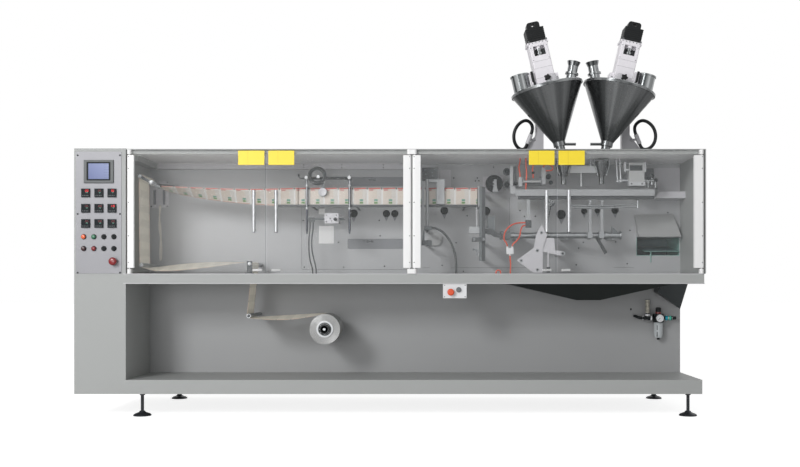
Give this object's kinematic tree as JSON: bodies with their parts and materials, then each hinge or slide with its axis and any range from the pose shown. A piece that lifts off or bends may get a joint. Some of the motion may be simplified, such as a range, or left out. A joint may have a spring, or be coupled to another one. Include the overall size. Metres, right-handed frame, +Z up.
{
  "type": "horizontal pouch packaging machine",
  "caption": "Horizontal pouch packaging machine: cabinet with clear guard doors, film reel and folding, sealing and filling stations, and roof-mounted powder fillers with hoppers.",
  "frame": {"origin": "on the floor under the middle of the machine, at the centre of its footprint", "axes": "+X along the machine from the control column to the discharge end, +Y from the doors to the back, +Z up"},
  "size_m": [3.54, 1.074, 2.2733],
  "materials": {
    "aluminium_parts": "machined",
    "black_hose": "flexible",
    "black_paint": "black paint",
    "body_paint": "satin grey powder coat",
    "button_plastic": "moulded",
    "clear_acrylic": "clear sheet",
    "dark_plastic": "moulded",
    "film": "laminated film",
    "foot_metal": "blackened steel",
    "handle_metal": "satin",
    "orange_hose": "flexible tube",
    "panel_metal": "brushed",
    "polished_steel": "polished stainless",
    "steel": "ground and plated",
    "teal_sheet": "painted",
    "wall_paint": "satin grey paint",
    "white_paint": "satin off-white paint",
    "white_plastic": "moulded"
  },
  "bodies": {
    "cabinet": {"air_lines": "orange_hose", "air_service_unit": "white_plastic", "base_plinth": "body_paint", "cam_plates": "aluminium_parts", "control_column": "body_paint", "control_panel": "panel_metal", "discharge_chute": "teal_sheet", "door_post": "body_paint", "end_panel": "body_paint", "fill_funnels": "polished_steel", "filler_gearboxes": "white_paint", "filler_hoppers": "polished_steel", "filler_motors": "black_paint", "filler_posts": "body_paint", "film_former": "steel", "film_guides": "steel", "film_web": "film", "gripper_drive": "steel", "guide_rollers": "steel", "handwheel": "dark_plastic", "hopper_lids": "polished_steel", "inner_walls": "wall_paint", "knife_station": "steel", "levelling_feet": "foot_metal", "machine_cables": "black_hose", "operator_display": "dark_plastic", "pivot_blocks": "white_paint", "pouch_opener": "aluminium_parts", "print_station": "dark_plastic", "push_buttons": "button_plastic", "rear_covers": "body_paint", "rear_housing": "wall_paint", "reel_shaft": "steel", "roof_cover": "body_paint", "roof_hoses": "black_hose", "side_sealer": "steel", "switch_box": "white_paint", "temperature_controllers": "dark_plastic", "transport_rail": "aluminium_parts", "under_troughs": "body_paint", "valve_box": "aluminium_parts", "wall_plates": "panel_metal", "work_table": "body_paint"},
    "door_1": {"door_trim_1": "white_paint", "guard_panel_1": "clear_acrylic", "pull_handle_1": "handle_metal"},
    "door_2": {"door_trim_2": "white_paint", "guard_panel_2": "clear_acrylic", "pull_handle_2": "handle_metal"},
    "door_3": {"door_trim_3": "white_paint", "guard_panel_3": "clear_acrylic", "pull_handle_3": "handle_metal"},
    "door_4": {"door_trim_4": "white_paint", "guard_panel_4": "clear_acrylic", "pull_handle_4": "handle_metal"},
    "reel": {"film_roll": "film", "reel_hub": "white_plastic"}
  },
  "joints": [
    {"name": "door_1_hinge", "type": "hinge", "parent": "cabinet", "child": "door_1", "pos_m": [-1.46, -0.478, 1.15], "axis": [0, 0, -1], "range_deg": [0, 105]},
    {"name": "door_2_hinge", "type": "hinge", "parent": "cabinet", "child": "door_2", "pos_m": [0.108, -0.478, 1.15], "axis": [0, 0, 1], "range_deg": [0, 85]},
    {"name": "door_3_hinge", "type": "hinge", "parent": "cabinet", "child": "door_3", "pos_m": [0.1374, -0.478, 1.15], "axis": [0, 0, -1], "range_deg": [0, 85]},
    {"name": "door_4_hinge", "type": "hinge", "parent": "cabinet", "child": "door_4", "pos_m": [1.745, -0.478, 1.15], "axis": [0, 0, 1], "range_deg": [0, 105]},
    {"name": "reel_spin", "type": "hinge", "parent": "cabinet", "child": "reel", "pos_m": [-0.378, -0.25, 0.489], "axis": [0, -1, 0], "continuous": true}
  ]
}
